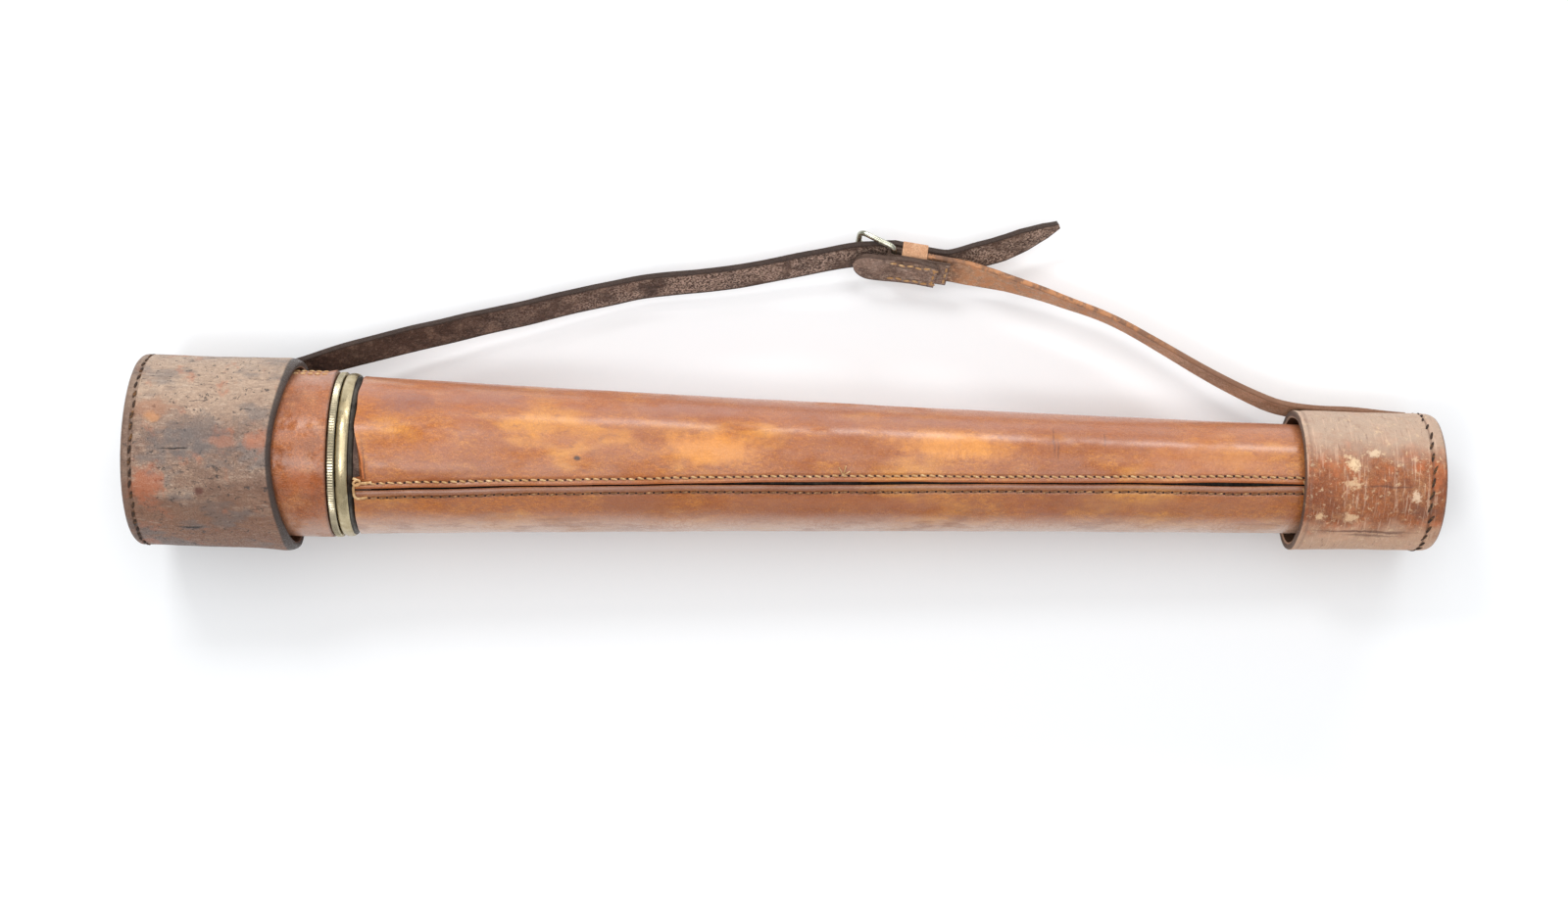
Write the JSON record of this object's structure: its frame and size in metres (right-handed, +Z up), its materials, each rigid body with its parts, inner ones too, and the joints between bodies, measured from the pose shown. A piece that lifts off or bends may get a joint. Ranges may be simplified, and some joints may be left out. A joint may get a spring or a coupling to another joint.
{
  "type": "leather-covered hand telescope",
  "caption": "Tapered leather-covered brass hand telescope with one draw, closed in two stiff leather end caps that a buckled leather sling joins.",
  "frame": {"origin": "centre of the objective cap's flat closed end", "axes": "+X along the tube's axis from the objective cap to the eyepiece cap; +Y to the side where the sling stands off; +Z up as the telescope lies on its side"},
  "size_m": [0.537, 0.1464, 0.0784],
  "materials": {
    "saddle_leather": "thick vegetable-tanned leather, grey-brown and scuffed, dark burnished edges",
    "tan_leather": "thin glazed tan leather, worn, with a fine crackled grain",
    "short_strap_leather": "tan strap leather, flesh side in, darkened edges",
    "sling_leather": "dark brown strap leather, rough flesh side in",
    "pale_leather": "pale untreated tan leather",
    "aged_brass": "dull olive patina, satin",
    "black_brass": "matt black lacquer on brass",
    "buckle_metal": "grey-green tarnished wire, polished where it rubs",
    "lens_glass": "clear polished optical glass"
  },
  "bodies": {
    "barrel": {"objective_tube": "black_brass", "objective_cell": "aged_brass", "lens_retaining_ring": "aged_brass", "crown_lens": "lens_glass", "flint_lens": "lens_glass", "knurled_collar": "aged_brass", "front_ferrule": "aged_brass", "body_sleeve": "tan_leather", "body_tube": "black_brass", "body_baffle": "black_brass", "rear_ferrule": "aged_brass", "draw_guide": "aged_brass"},
    "sunshade": {"sunshade_tube": "aged_brass", "sunshade_cover": "tan_leather", "sunshade_rim": "aged_brass"},
    "objective_cap": {"objective_cap_wall": "saddle_leather", "objective_cap_end": "saddle_leather", "long_strap": "sling_leather"},
    "draw": {"draw_tube": "aged_brass", "draw_stop_ring": "aged_brass", "erector_tube": "black_brass", "erector_lens_front": "lens_glass", "erector_lens_rear": "lens_glass", "erector_stop": "black_brass", "eyepiece_tube": "aged_brass", "field_lens": "lens_glass", "eye_lens": "lens_glass", "eyepiece_head": "aged_brass", "shutter_screw": "aged_brass"},
    "shutter": {"eyepiece_shutter": "aged_brass"},
    "eyepiece_cap": {"eyepiece_cap_wall": "saddle_leather", "eyepiece_cap_end": "saddle_leather", "short_strap": "short_strap_leather", "keeper_loop": "pale_leather", "buckle_safe": "sling_leather"},
    "buckle": {"buckle_frame": "buckle_metal"},
    "prong": {"buckle_prong": "buckle_metal"}
  },
  "joints": [
    {"name": "sunshade_slide", "type": "slide", "parent": "barrel", "child": "sunshade", "axis": [-1, 0, 0], "range_m": [0, 0.045]},
    {"name": "objective_cap_slide", "type": "slide", "parent": "sunshade", "child": "objective_cap", "axis": [-1, 0, 0], "range_m": [0, 0.1], "deforming": ["long_strap"]},
    {"name": "draw_slide", "type": "slide", "parent": "barrel", "child": "draw", "axis": [1, 0, 0], "range_m": [0, 0.209]},
    {"name": "shutter_turn", "type": "hinge", "parent": "draw", "child": "shutter", "pos_m": [0.5209, 0, 0.0105], "axis": [1, 0, 0], "range_deg": [0, 80]},
    {"name": "eyepiece_cap_slide", "type": "slide", "parent": "draw", "child": "eyepiece_cap", "axis": [1, 0, 0], "range_m": [0, 0.1]},
    {"name": "buckle_turn", "type": "hinge", "parent": "eyepiece_cap", "child": "buckle", "pos_m": [0.311, 0.0882, -0.018], "axis": [-0.0738, -0.5248, -0.848], "range_deg": [0, 40]},
    {"name": "prong_turn", "type": "hinge", "parent": "buckle", "child": "prong", "pos_m": [0.311, 0.0882, -0.018], "axis": [-0.0738, -0.5248, -0.848], "range_deg": [0, 30]}
  ]
}
